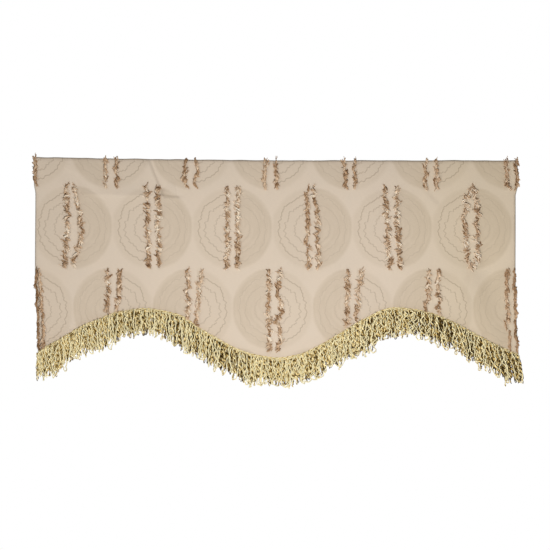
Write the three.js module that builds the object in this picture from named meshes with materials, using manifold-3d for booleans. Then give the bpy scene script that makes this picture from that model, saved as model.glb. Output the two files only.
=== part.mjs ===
// A shaped window valance, hung flat: a jacquard panel with woven eyelash stripes,
// and a loop fringe along its curved hem. Millimetres, +Z up, the front towards -Y.
// The origin is the middle of the top edge, half way through the cloth.
import * as THREE from "three";
import { mergeVertices } from "three/addons/utils/BufferGeometryUtils.js";
import Module from "manifold-3d";

const wasm = await Module();
wasm.setup();
const { clamp, lerp, smoothstep, seededRandom } = THREE.MathUtils;

// Panel
const PANEL_WIDTH = 1270;
const CLOTH_THICKNESS = 2;
const HEM_BEHIND_HEAD = 13; // the cloth runs on this far behind the fringe's head
const TOP_LIFT = 9; // the top edge rises this much towards its left end
const TOP_LIFT_FADE = 260; // and the rise has gone this far below the edge
const PANEL_COLUMNS = 48;
const PANEL_ROWS = 10;

// The curved hem, at the top of the fringe's head: three low points and two arches
const HEM_TURNS = [
  { x: -735, drop: 525 },
  { x: -345, drop: 392 },
  { x: 0, drop: 522 },
  { x: 335, drop: 390 },
  { x: 720, drop: 527 },
];

// How far each side edge strays outwards from a straight line
const SIDE_STRAYS = [
  { drop: 0, left: 3, right: 6 },
  { drop: 85, left: 2, right: 5 },
  { drop: 125, left: 0, right: 0 },
  { drop: 290, left: 1, right: 0 },
  { drop: 420, left: -4, right: 3 },
  { drop: 530, left: -7, right: 8 },
];
const STRAY_POWER = 6; // only the cloth near an edge strays with it

// Soft folds, each standing forward (or back, below zero) and growing from its start down to the hem
const FOLD_GROWTH = 330;
const FOLDS = [
  { x: -560, halfWidth: 75, forward: 5, start: 40, lean: 0.06 },
  { x: -430, halfWidth: 70, forward: -3, start: 90, lean: 0.02 },
  { x: -300, halfWidth: 80, forward: 4, start: -120, lean: -0.08 },
  { x: -130, halfWidth: 85, forward: -3, start: 60, lean: -0.05 },
  { x: 20, halfWidth: 110, forward: 5, start: 60, lean: 0 },
  { x: 190, halfWidth: 75, forward: -3, start: 40, lean: 0.04 },
  { x: 330, halfWidth: 80, forward: 3, start: 0, lean: 0.03 },
  { x: 500, halfWidth: 55, forward: -5, start: 120, lean: 0.1 },
  { x: 590, halfWidth: 60, forward: 4, start: 80, lean: 0.08 },
];

// Rows of woven discs, each disc with a pair of eyelash stripes down its middle
const DISC_PITCH = 211.5;
const DISC_ROWS = [
  { drop: -44, firstX: -647, count: 7 },
  { drop: 173, firstX: -536, count: 6 },
  { drop: 391, firstX: -641, count: 7 },
];
const STRIPE_HALF_LENGTH = 109;
const STRIPE_SPACING = 28;
const STRIPE_OVER_TOP = 6; // tufts stand up this far over the top edge
const STRIPE_ABOVE_HEM = 7; // and end this far above the fringe's head
const STRIPE_OUTERMOST = PANEL_WIDTH / 2 - 2; // a stripe near a side lies along it
const STRIPE_PAST_SIDE = 12; // and one woven this far past it doesn't show

// The matted tufts of a stripe, as a lumpy ridge on the cloth's front
const RIDGE_HALF_WIDTH = 5.5;
const RIDGE_HEIGHT = 6.5;
const RIDGE_SIDES = 5;
const RIDGE_STEP = 20;
const RIDGE_WANDER = 3;
const RIDGE_SMALLEST = 0.65;
const RIDGE_LARGEST = 1.2;
const RIDGE_END = 0.5; // size of a ridge's last section beside its full one

// Loop fringe, as short lengths end to end along the curved hem
const LENGTH_COUNT = 8;
const LENGTH_GAP = 0.4; // between two lengths' ends
const HEAD_HEIGHT = 12;
const HEAD_THICKNESS = 3.5;
const HEAD_GAP = 0.4; // between the cloth's front and the head's back
const LOOPS_PER_LENGTH = 10; // in each of the two layers
const LOOP_LAYERS = [
  { shift: 0.25, rootDrop: 7, forward: 3.2, bulge: 0 },
  { shift: 0.75, rootDrop: 4, forward: 3.2, bulge: 7 },
]; // shift is in loop pitches, and the front layer bulges out over the back one
const LOOP_LENGTH = 70;
const LOOP_LENGTH_SPREAD = 9;
const LOOP_RADIUS = 4.9;
const LOOP_ROOT = 0.5; // radius of a loop's root beside its widest part
const LOOP_TIP = 0.6; // and of its tip
const LOOP_SIDES = 3;
const LOOP_STEPS = 4;
const LOOP_CRINKLE = 2;
// How far the loops' tips lean sideways, along the hem
const LOOP_LEANS = [
  { x: -635, lean: -5 },
  { x: -480, lean: 5 },
  { x: -250, lean: -3 },
  { x: 0, lean: 2 },
  { x: 250, lean: -4 },
  { x: 460, lean: 4 },
  { x: 635, lean: 17 },
];

const LENGTH_WIDTH = PANEL_WIDTH / LENGTH_COUNT;

// Finish
const CLOTH_LOOK = { color: "#cdb89c", roughness: 0.8, metalness: 0 };
const YARN_LOOK = { color: "#c6b375", roughness: 0.6, metalness: 0 };

const SEED = 41;
seededRandom(SEED);

// A column of a table, eased with a half cosine between the rows on either side
function eased(rows, key, column, at) {
  const upper = rows.findIndex((row) => row[key] > at);
  if (upper < 1) return rows[upper === 0 ? 0 : rows.length - 1][column];
  const [before, after] = [rows[upper - 1], rows[upper]];
  const share = (at - before[key]) / (after[key] - before[key]);
  return lerp(before[column], after[column], (1 - Math.cos(Math.PI * share)) / 2);
}

const hemDrop = (x) => eased(HEM_TURNS, "x", "drop", x);

// How far the hung cloth stands forward of a flat sheet
function foldForward(x, drop) {
  return FOLDS.reduce((sum, fold) => {
    const across = (x - fold.x - fold.lean * drop) / fold.halfWidth;
    const grown = smoothstep(drop, fold.start, fold.start + FOLD_GROWTH);
    return sum + fold.forward * grown * Math.exp(-across * across);
  }, 0);
}

// The place of a point that lies on the cloth at x and drop, forward of the middle of its thickness
function onCloth(x, drop, forward) {
  const share = (2 * x) / PANEL_WIDTH;
  const edge = share < 0 ? "left" : "right";
  const reach = Math.sign(share) * Math.abs(share) ** STRAY_POWER;
  const stray = reach * eased(SIDE_STRAYS, "drop", edge, drop);
  const lift = TOP_LIFT * Math.max(0, -share) * (1 - smoothstep(drop, 0, TOP_LIFT_FADE));
  return new THREE.Vector3(x + stray, -foldForward(x, drop) - forward, lift - drop);
}

// Moves every point of a closed geometry to place(x, y, z)
function reshaped(geometry, place) {
  const points = geometry.getAttribute("position");
  for (let i = 0; i < points.count; i += 1) {
    points.setXYZ(i, ...place(points.getX(i), points.getY(i), points.getZ(i)));
  }
  return geometry;
}

function solidFrom(geometry) {
  geometry.deleteAttribute("normal");
  geometry.deleteAttribute("uv");
  const merged = mergeVertices(geometry);
  const vertProperties = new Float32Array(merged.getAttribute("position").array);
  const triVerts = new Uint32Array(merged.index.array);
  return new wasm.Manifold(new wasm.Mesh({ numProp: 3, vertProperties, triVerts }));
}

function geometryFrom(solid) {
  const { vertProperties, triVerts } = solid.getMesh();
  const geometry = new THREE.BufferGeometry();
  geometry.setAttribute("position", new THREE.BufferAttribute(vertProperties, 3));
  geometry.setIndex(new THREE.BufferAttribute(triVerts, 1));
  geometry.computeVertexNormals();
  return geometry;
}

const joined = (solids) => solids.reduce((whole, solid) => whole.add(solid));

// The plain hung sheet, cut to the curved hem
function panelSheet() {
  const sheet = new THREE.BoxGeometry(PANEL_WIDTH, CLOTH_THICKNESS, 1, PANEL_COLUMNS, 1, PANEL_ROWS);
  return reshaped(sheet, (x, y, z) => onCloth(x, (0.5 - z) * (hemDrop(x) + HEM_BEHIND_HEAD), -y));
}

// Every eyelash stripe that shows on the panel, as its x and the drops of its two ends
function eyelashStripes() {
  const stripes = [];
  for (const row of DISC_ROWS) {
    for (let disc = 0; disc < row.count; disc += 1) {
      for (const side of [-1, 1]) {
        const woven = row.firstX + disc * DISC_PITCH + (side * STRIPE_SPACING) / 2;
        const x = clamp(woven, -STRIPE_OUTERMOST, STRIPE_OUTERMOST);
        const top = Math.max(row.drop - STRIPE_HALF_LENGTH, -STRIPE_OVER_TOP);
        const bottom = Math.min(row.drop + STRIPE_HALF_LENGTH, hemDrop(x) - STRIPE_ABOVE_HEM);
        if (Math.abs(woven - x) < STRIPE_PAST_SIDE) stripes.push({ x, top, bottom });
      }
    }
  }
  return stripes;
}

// A stripe's tufts: an uneven ridge, its back sunk into the cloth
function tuftRidge({ x, top, bottom }) {
  const steps = Math.round((bottom - top) / RIDGE_STEP);
  const sections = Array.from({ length: steps + 1 }, (_, i) => {
    const taper = i === 0 || i === steps ? RIDGE_END : 1;
    const size = taper * lerp(RIDGE_SMALLEST, RIDGE_LARGEST, seededRandom());
    return { size, middle: x + RIDGE_WANDER * lerp(-1, 1, seededRandom()) };
  });
  const ridge = new THREE.CylinderGeometry(1, 1, 1, RIDGE_SIDES, steps);
  return reshaped(ridge, (across, along, out) => {
    const share = 0.5 - along;
    const { size, middle } = sections[Math.round(share * steps)];
    const sideways = middle + across * size * RIDGE_HALF_WIDTH;
    const stand = out > 0 ? out * size * RIDGE_HEIGHT : (out * CLOTH_THICKNESS) / 2;
    return onCloth(sideways, lerp(top, bottom, share), CLOTH_THICKNESS / 2 + stand);
  });
}

// The head of a length of fringe: a narrow band along the hem, in front of the cloth
function fringeHead(centre) {
  const width = LENGTH_WIDTH - LENGTH_GAP;
  const columns = PANEL_COLUMNS / LENGTH_COUNT;
  const head = new THREE.BoxGeometry(width, HEAD_THICKNESS, HEAD_HEIGHT, columns, 1, 1);
  const middle = CLOTH_THICKNESS / 2 + HEAD_GAP + HEAD_THICKNESS / 2;
  return reshaped(head, (across, y, z) => {
    const x = centre + across;
    return onCloth(x, hemDrop(x) + HEAD_HEIGHT / 2 - z, middle - y);
  });
}

// One hanging loop of fringe yarn, crinkled, its root inside the head
function fringeLoop(x, layer) {
  const length = LOOP_LENGTH + LOOP_LENGTH_SPREAD * lerp(-1, 1, seededRandom());
  const lean = eased(LOOP_LEANS, "x", "lean", x);
  const crinkles = Array.from({ length: LOOP_STEPS + 1 }, () => lerp(-1, 1, seededRandom()));
  const headBack = CLOTH_THICKNESS / 2 + HEAD_GAP;
  const root = onCloth(x, hemDrop(x) + layer.rootDrop, headBack + layer.forward);
  const loop = new THREE.CylinderGeometry(1, LOOP_TIP, 1, LOOP_SIDES, LOOP_STEPS);
  return reshaped(loop, (across, along, out) => {
    const share = 0.5 - along;
    const crinkle = share === 0 ? 0 : LOOP_CRINKLE * crinkles[Math.round(share * LOOP_STEPS)];
    const radius = LOOP_RADIUS * (share === 0 ? LOOP_ROOT : 1);
    return [
      root.x + lean * share + crinkle + across * radius,
      root.y - layer.bulge * smoothstep(share, 0, 1 / LOOP_STEPS) - out * radius,
      root.z - share * length,
    ];
  });
}

function fringeLength(centre) {
  const pitch = LENGTH_WIDTH / LOOPS_PER_LENGTH;
  const start = centre - LENGTH_WIDTH / 2;
  const loops = LOOP_LAYERS.flatMap((layer) =>
    Array.from({ length: LOOPS_PER_LENGTH }, (_, i) => fringeLoop(start + (i + layer.shift) * pitch, layer)),
  );
  return joined([fringeHead(centre), ...loops].map(solidFrom));
}

function namedMesh(name, solid, look) {
  const mesh = new THREE.Mesh(geometryFrom(solid), new THREE.MeshStandardMaterial(look));
  mesh.name = name;
  return mesh;
}

const panel = joined([panelSheet(), ...eyelashStripes().map(tuftRidge)].map(solidFrom));

const valance = new THREE.Group();
valance.add(namedMesh("valance_panel", panel, CLOTH_LOOK));
for (let i = 0; i < LENGTH_COUNT; i += 1) {
  const centre = (i + 0.5) * LENGTH_WIDTH - PANEL_WIDTH / 2;
  valance.add(namedMesh(`loop_fringe_${i + 1}`, fringeLength(centre), YARN_LOOK));
}

export default valance;
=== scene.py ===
import functools
import math

import bpy
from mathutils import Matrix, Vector, noise


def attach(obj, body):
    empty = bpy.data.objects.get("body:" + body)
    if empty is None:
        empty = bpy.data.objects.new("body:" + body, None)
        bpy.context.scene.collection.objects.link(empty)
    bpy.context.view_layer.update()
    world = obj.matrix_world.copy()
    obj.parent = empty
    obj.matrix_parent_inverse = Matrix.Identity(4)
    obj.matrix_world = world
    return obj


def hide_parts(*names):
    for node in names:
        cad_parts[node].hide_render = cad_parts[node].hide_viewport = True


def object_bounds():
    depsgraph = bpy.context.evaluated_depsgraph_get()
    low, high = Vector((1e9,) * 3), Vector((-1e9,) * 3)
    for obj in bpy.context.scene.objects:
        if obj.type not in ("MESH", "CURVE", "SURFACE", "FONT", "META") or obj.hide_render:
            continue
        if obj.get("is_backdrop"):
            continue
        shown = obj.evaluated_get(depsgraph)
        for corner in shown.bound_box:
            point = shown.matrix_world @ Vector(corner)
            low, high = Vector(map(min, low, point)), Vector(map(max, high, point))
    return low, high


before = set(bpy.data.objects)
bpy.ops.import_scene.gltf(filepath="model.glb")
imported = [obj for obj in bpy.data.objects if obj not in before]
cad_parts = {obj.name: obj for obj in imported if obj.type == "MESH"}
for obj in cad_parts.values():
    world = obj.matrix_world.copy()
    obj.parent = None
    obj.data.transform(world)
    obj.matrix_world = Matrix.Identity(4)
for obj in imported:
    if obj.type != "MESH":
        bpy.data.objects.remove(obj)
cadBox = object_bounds()
fringeNodes = sorted(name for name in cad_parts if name.startswith("loop_fringe"))
print("frame loaded:", len(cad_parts), "nodes")

noiseSpan = {1: 0.25, 2: 0.75}  # what a noise texture mostly spans, as the inputs of a Map Range


# sRGB hex to linear colour
def linear(hexColour):
    channels = [int(hexColour[i:i + 2], 16) / 255 for i in (1, 3, 5)]
    return [c / 12.92 if c <= 0.04045 else ((c + 0.055) / 1.055) ** 2.4 for c in channels] + [1.0]


# Sets a node's inputs: a link is a node (its first output), a socket or a plain value
def wire(tree, node, links):
    for key, value in links.items():
        source = value.outputs[0] if isinstance(value, bpy.types.Node) else value
        if isinstance(source, bpy.types.NodeSocket):
            tree.links.new(source, node.inputs[key])
        else:
            node.inputs[key].default_value = source


# One node with its settings and links
def addNode(tree, kind, links=None, **settings):
    node = tree.nodes.new(kind)
    for name, value in settings.items():
        setattr(node, name, value)
    wire(tree, node, links or {})
    return node


# A material with its tree and its surface shader
def newMaterial(name):
    material = bpy.data.materials.new(name)
    material.use_nodes = True
    tree = material.node_tree
    return material, tree, tree.nodes["Principled BSDF"]


def newObject(name, data):
    thing = bpy.data.objects.new(name, data)
    bpy.context.scene.collection.objects.link(thing)
    return thing


# A short table: the names of its columns, then its rows
def tableOf(columns, *rows):
    return [dict(zip(columns.split(), row)) for row in rows]


# The hung cloth, in metres: x across, drop below the top edge, forward towards the viewer
panel = {
    "width": 1.27,
    "thickness": 0.002,
    "behindHead": 0.013,  # cloth that runs on behind the fringe's head
    "topLift": 0.0085,  # the top edge rises towards its left end
    "liftPower": 1.3,
    "liftFade": 0.40,
    "strayPower": 6,  # only the cloth near a side strays with it
    "foldGrowth": 0.33,
    "creaseEnd": 0.010,  # a crease dies out over this length
    "offGrain": 0.012,  # the figure runs a little off the square
    "gridStep": 0.0065,
    "fineStep": 0.0015,  # closer rows and columns where the creases are
    "fineAcross": (-0.340, -0.250),
    "fineDown": (0.064, 0.108),
    "edgeRoll": 0.004,  # the turned edges curl back over this width
    "edgeBack": 0.0050,
    "rimShares": (0.0, 0.2, 0.45, 0.7),  # where in that width the mesh has its rows
    "hemBack": 0.0045,  # the edge behind the fringe stands back from the loops
    "hemBackFrom": 0.003,
    "pucker": 0.0007,  # ripples drawn up by the fringe's seam
    "puckerLength": 0.013,
    "puckerDrop": 0.08,
    "puckerReach": 0.03,
    "puckerSlice": 3.1,  # each unevenness is a slice of its own through one noise
    "topRoll": 0.0035,  # the cloth leans back a little near its top
    "topRollReach": 0.028,
    "slack": 0.0012,  # faint unevenness of hung cloth
    "slackLength": 0.09,
    "slackSlice": 0.7,
    "topWander": 0.0011,  # the top edge is not quite straight
    "topWanderLength": 0.035,
    "topWanderReach": 0.02,
    "topWanderSlice": 5.3,
}
hemTurns = tableOf(
    "x drop",
    (-0.735, 0.525),
    (-0.345, 0.392),
    (0.000, 0.522),
    (0.335, 0.390),
    (0.720, 0.527),
)
sideStrays = tableOf(
    "drop left right",
    (0.000, 0.005, 0.006),
    (0.068, 0.004, 0.005),
    (0.096, 0.000, 0.000),
    (0.290, 0.001, 0.000),
    (0.420, -0.004, 0.003),
    (0.530, -0.007, 0.008),
)
folds = tableOf(
    "x halfWidth forward start lean",
    (-0.560, 0.075, 0.005, 0.040, 0.06),
    (-0.430, 0.070, -0.003, 0.090, 0.02),
    (-0.300, 0.080, 0.004, -0.120, -0.08),
    (-0.130, 0.085, -0.003, 0.060, -0.05),
    (0.020, 0.110, 0.005, 0.060, 0.0),
    (0.190, 0.075, -0.003, 0.040, 0.04),
    (0.330, 0.080, 0.003, 0.000, 0.03),
    (0.500, 0.055, -0.005, 0.120, 0.1),
    (0.590, 0.060, 0.004, 0.080, 0.08),
)
# Creases left from folding: along each the cloth steps back or forward, or stands out as a soft ridge
creases = tableOf(
    "x drop toX toDrop width reach step ridge",
    (-0.331, 0.014, -0.306, 0.076, 0.0026, 0.022, -0.0034, 0.0),
    (-0.305, 0.084, -0.298, 0.093, 0.0028, 0.016, -0.0014, 0.0),
    (-0.296, 0.096, -0.264, 0.099, 0.0030, 0.018, -0.0020, 0.0),
    (-0.269, 0.066, -0.262, 0.092, 0.0026, 0.014, -0.0012, 0.0),
    (-0.500, 0.094, -0.350, 0.096, 0.0018, 0.026, 0.0, 0.0044),
    (-0.549, 0.030, -0.456, 0.097, 0.0080, 0.020, 0.0020, 0.0),
    (0.393, 0.075, 0.426, 0.112, 0.0040, 0.015, -0.0014, 0.0),
    (0.512, 0.290, 0.497, 0.350, 0.0070, 0.022, -0.0022, 0.0),
    (0.535, 0.310, 0.590, 0.450, 0.0350, 0.100, -0.0120, 0.0),
)


# A table's column, eased with a half cosine between its rows
def eased(rows, key, column, at):
    if at <= rows[0][key]:
        return rows[0][column]
    for before, after in zip(rows, rows[1:]):
        if at <= after[key]:
            share = (at - before[key]) / (after[key] - before[key])
            blend = (1 - math.cos(math.pi * share)) / 2
            return before[column] + (after[column] - before[column]) * blend
    return rows[-1][column]


def smoothStep(value, low, high):
    share = min(1.0, max(0.0, (value - low) / (high - low)))
    return share * share * (3 - 2 * share)


def hemDrop(x):
    return eased(hemTurns, "x", "drop", x)


def foldForward(x, drop):
    total = 0.0
    for fold in folds:
        across = (x - fold["x"] - fold["lean"] * drop) / fold["halfWidth"]
        grown = smoothStep(drop, fold["start"], fold["start"] + panel["foldGrowth"])
        total += fold["forward"] * grown * math.exp(-across * across)
    return total


def creaseForward(x, drop):
    total = 0.0
    point = Vector((x, drop))
    for crease in creases:
        start = Vector((crease["x"], crease["drop"]))
        run = Vector((crease["toX"], crease["toDrop"])) - start
        along = (point - start).dot(run) / run.length
        beyond = max(0.0, -along, along - run.length) / (panel["creaseEnd"] + crease["width"])
        aside = run.cross(start - point) / run.length
        level = math.exp(-math.hypot(aside, crease["width"]) / crease["reach"] - beyond * beyond)
        total += (crease["step"] * math.tanh(aside / crease["width"]) + crease["ridge"]) * level
    return total


# Fine relief that only the finished cloth has: slack, creases and the seam's puckers
def fineForward(x, drop):
    slack = noise.noise(Vector((x, drop, panel["slackSlice"])) / panel["slackLength"])
    aboveHem = (hemDrop(x) - drop) / panel["puckerReach"]
    ripplePlace = (x / panel["puckerLength"], drop / panel["puckerDrop"], panel["puckerSlice"])
    pucker = noise.noise(Vector(ripplePlace)) * math.exp(-aboveHem * aboveHem)
    roll = panel["topRoll"] * math.exp(-drop / panel["topRollReach"])
    return creaseForward(x, drop) + panel["slack"] * slack + panel["pucker"] * pucker - roll


# A place of the flat cloth, as it hangs
def onCloth(x, drop, forward):
    share = 2 * x / panel["width"]
    side = "left" if share < 0 else "right"
    nearSide = math.copysign(abs(share) ** panel["strayPower"], share)
    stray = nearSide * eased(sideStrays, "drop", side, drop)
    lift = panel["topLift"] * max(0.0, -share) ** panel["liftPower"]
    lift *= 1 - smoothStep(drop, 0, panel["liftFade"])
    wander = noise.noise(Vector((x / panel["topWanderLength"], 0, panel["topWanderSlice"])))
    lift += panel["topWander"] * wander * math.exp(-drop / panel["topWanderReach"])
    return Vector((x + stray, -foldForward(x, drop) - fineForward(x, drop) - forward, lift - drop))


# The woven figure in millimetres: half-drop rows of discs, one half ringed, the other in a darker tone
figure = {
    "pitch": 211.5,
    "rowGap": 211.5,
    "firstRow": (-647.0, -29.0),  # centre of one disc, across and down
    "nextRow": (-539.5, 180.5),
    "bareMiddle": 12.0,  # plain ground between a disc's two stripes
    "lineCore": 0.3,
    "lineHalf": 1.9,
    "faintLine": 0.42,  # what the rings keep of their line on the plain half
    "tooth": 9.0,  # how closely a ring's small teeth follow each other
    "toothShift": 5.7,
    "bendShare": 0.4,  # the disc's edge and tones follow the rings' bends a little
    "edgeShare": 0.5,
    "rampReach": 120.0,  # radius at a tone ramp's far end
    "boundAside": 14.0,  # where the stripes' yarns are bound in, from a disc's middle
    "boundReach": 104.0,
    "boundCore": 0.8,
    "boundHalf": 2.6,
    "boundPitch": 6.0,
    "pickFrom": -0.6,  # each stitch shows over part of its pitch, and the rest is fainter
    "pickTo": 0.2,
    "pickLeast": 0.25,
    "brushMm": 7.0,  # streaks round the plain half
    "brushTurns": 2.2,
    "brushFrom": 0.3,
    "brushTo": 0.7,
    "brush": 0.24,
}
# Rings of the lined half: a slow wave of its own and small teeth on each
rings = tableOf(
    "radius wave waves teeth line",
    (44.5, 1.8, 2.0, 7.0, 0.48),
    (68.8, 3.2, 2.0, 9.0, 0.52),
    (89.3, -0.9, 2.0, 8.5, 0.58),
)
# Stops of each half's tone by radius, from the middle out
linedTone = tableOf(
    "radius tone",
    (0, 0.22),
    (80, 0.30),
    (92, 0.36),
    (101, 0.36),
    (111, 0.0),
)
plainTone = tableOf(
    "radius tone",
    (0, 0.60),
    (48, 0.60),
    (52, 0.64),
    (70, 0.62),
    (74, 0.66),
    (90, 0.64),
    (94, 0.68),
    (103, 0.62),
    (110, 0.0),
)


# Gives a colour ramp its stops, each a place and a colour
def setStops(ramp, stops):
    elements = ramp.color_ramp.elements
    while len(elements) < len(stops):
        elements.new(1.0)
    for element, (place, colour) in zip(elements, stops):
        element.position = place
        element.color = colour


# One lattice of discs: how much disc tone, ring line and binding stitch the cloth has at a place
def discLattice(tree, millimetres, centre, mirror):
    add = functools.partial(addNode, tree)
    cell = (figure["pitch"] / 2, figure["rowGap"], 1.0)
    moved = add("ShaderNodeVectorMath", {0: millimetres, 1: (*centre, 0.0)}, operation="SUBTRACT")
    local = add("ShaderNodeVectorMath", {0: moved, 1: cell, 2: [-c for c in cell]}, operation="WRAP")
    facing = add("ShaderNodeVectorMath", {0: local, 1: (mirror, 1.0, 0.0)}, operation="MULTIPLY")
    radius = add("ShaderNodeVectorMath", {0: facing}, operation="LENGTH").outputs["Value"]
    parts = add("ShaderNodeSeparateXYZ", {0: facing}).outputs
    angle = add("ShaderNodeMath", {0: parts["Y"], 1: parts["X"]}, operation="ARCTAN2")
    towards = add("ShaderNodeVectorMath", {0: facing}, operation="NORMALIZE")
    lines = 0.0
    bends = 0.0
    for i, ring in enumerate(rings):
        ownTeeth = (0, 0, figure["toothShift"] * i)
        spread = add("ShaderNodeVectorMath", {0: towards, 1: (figure["tooth"],) * 3, 2: ownTeeth},
                     operation="MULTIPLY_ADD")
        teeth = add("ShaderNodeTexNoise", {"Vector": spread, "Scale": 1.0, "Detail": 1.0})
        tooth = add("ShaderNodeMath", {0: teeth, 1: 2 * ring["teeth"], 2: -ring["teeth"]},
                    operation="MULTIPLY_ADD")
        turns = add("ShaderNodeMath", {0: angle, 1: ring["waves"]}, operation="MULTIPLY")
        wave = add("ShaderNodeMath", {0: turns}, operation="COSINE")
        bend = add("ShaderNodeMath", {0: wave, 1: ring["wave"], 2: tooth}, operation="MULTIPLY_ADD")
        straight = add("ShaderNodeMath", {0: radius, 1: bend}, operation="SUBTRACT")
        away = add("ShaderNodeMath", {0: straight, 1: ring["radius"]}, operation="SUBTRACT")
        near = add("ShaderNodeMath", {0: away}, operation="ABSOLUTE")
        line = add("ShaderNodeMapRange",
                   {0: near, 1: figure["lineCore"], 2: figure["lineHalf"], 3: ring["line"], 4: 0.0})
        lines = add("ShaderNodeMath", {0: lines, 1: line}, operation="MAXIMUM")
        bends = add("ShaderNodeMath", {0: bend, 1: figure["bendShare"], 2: bends}, operation="MULTIPLY_ADD")
    calm = add("ShaderNodeMath", {0: bends, 1: figure["edgeShare"], 2: radius}, operation="MULTIPLY_ADD")
    # The tone of each half, the plain one streaked
    reach = figure["rampReach"]
    outShare = add("ShaderNodeMath", {0: calm, 1: reach}, operation="DIVIDE")
    lined = add("ShaderNodeValToRGB", {"Fac": outShare})
    plain = add("ShaderNodeValToRGB", {"Fac": outShare})
    for ramp, stops in ((lined, linedTone), (plain, plainTone)):
        setStops(ramp, [(stop["radius"] / reach, (stop["tone"],) * 3 + (1.0,)) for stop in stops])
    outward = add("ShaderNodeMath", {0: radius, 1: figure["brushMm"]}, operation="DIVIDE")
    brushOut = add("ShaderNodeCombineXYZ", {"Z": outward})
    brushPlace = add("ShaderNodeVectorMath", {0: towards, 1: (figure["brushTurns"],) * 3, 2: brushOut},
                     operation="MULTIPLY_ADD")
    brushNoise = add("ShaderNodeTexNoise", {"Vector": brushPlace, "Scale": 1.0, "Detail": 2.0})
    brushed = add("ShaderNodeMapRange", {0: brushNoise, 1: figure["brushFrom"], 2: figure["brushTo"],
                                         3: 1 - figure["brush"], 4: 1 + figure["brush"]})
    streaked = add("ShaderNodeMath", {0: plain, 1: brushed}, operation="MULTIPLY")
    onRings = add("ShaderNodeMath", {0: parts["X"], 1: 0.0}, operation="GREATER_THAN")
    halves = add("ShaderNodeMix", {0: onRings, 2: streaked, 3: lined})
    fromMiddle = add("ShaderNodeMath", {0: parts["X"]}, operation="ABSOLUTE")
    bare = add("ShaderNodeMath", {0: fromMiddle, 1: figure["bareMiddle"]}, operation="GREATER_THAN")
    tone = add("ShaderNodeMath", {0: halves, 1: bare}, operation="MULTIPLY")
    faint = add("ShaderNodeMapRange", {0: onRings, 3: figure["faintLine"], 4: 1.0})
    kept = add("ShaderNodeMath", {0: lines, 1: faint}, operation="MULTIPLY")
    drawn = add("ShaderNodeMath", {0: kept, 1: bare}, operation="MULTIPLY")
    # Rows of small stitches that bind each stripe's yarns, as the reverse shows them
    fromStripe = add("ShaderNodeMath", {0: fromMiddle, 1: figure["boundAside"]}, operation="SUBTRACT")
    nearStripe = add("ShaderNodeMath", {0: fromStripe}, operation="ABSOLUTE")
    bindLine = add("ShaderNodeMapRange",
                   {0: nearStripe, 1: figure["boundCore"], 2: figure["boundHalf"], 3: 1.0, 4: 0.0})
    upDown = add("ShaderNodeMath", {0: parts["Y"]}, operation="ABSOLUTE")
    within = add("ShaderNodeMath", {0: upDown, 1: figure["boundReach"]}, operation="LESS_THAN")
    paced = add("ShaderNodeMath", {0: parts["Y"], 1: 2 * math.pi / figure["boundPitch"]},
                operation="MULTIPLY")
    picks = add("ShaderNodeMath", {0: paced}, operation="SINE")
    pick = add("ShaderNodeMapRange",
               {0: picks, 1: figure["pickFrom"], 2: figure["pickTo"], 3: figure["pickLeast"], 4: 1.0})
    bindRow = add("ShaderNodeMath", {0: bindLine, 1: within}, operation="MULTIPLY")
    bound = add("ShaderNodeMath", {0: bindRow, 1: pick}, operation="MULTIPLY")
    return tone, drawn, bound


# Furnishing jacquard of cotton and rayon: a smooth matt satin ground, figured in tone only
jacquard = {
    "ground": "#d5c5b2",
    "warmGround": "#d9c7b2",
    "discTone": "#c6b49d",
    "ringLine": "#9a866e",
    "boundYarn": "#8f6f50",
    "roughness": 0.78,
    "sheen": 0.08,
    "sheenRoughness": 0.5,
    "threadMm": 2.4,  # real threads lie 0.4 mm apart: drawn six times coarser so that they show
    "slubMm": 9.0,
    "slubRows": 0.9,  # rows of slubs in a millimetre
    "slubDark": 0.965,
    "slubPale": 1.03,
    "slubRelief": 2.0,
    "bump": 0.25,
    "bumpDepth": 0.0002,
    "blotchMm": 70.0,
    "agedEnd": "#fffef7",  # the right end has yellowed a little
    "agedFromMm": 280.0,
    "agedToMm": 480.0,
}
# The cloth's two faces: how strong the figure is, and how much the binding stitches show
clothFaces = tableOf(
    "name strength boundShare",
    ("Tonal cotton jacquard", 1.0, 0.0),
    ("Jacquard reverse", 0.6, 0.8),
)


# Dyes the cloth where either lattice of discs is marked
def dyeMarks(tree, colour, marks, join, strength, dye):
    both = addNode(tree, "ShaderNodeMath", {0: marks[0], 1: marks[1]}, operation=join)
    share = addNode(tree, "ShaderNodeMath", {0: both, 1: strength}, operation="MULTIPLY")
    dyed = addNode(tree, "ShaderNodeMix", {0: share, 6: colour, 7: linear(dye)}, data_type="RGBA")
    return dyed.outputs[2]


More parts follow.
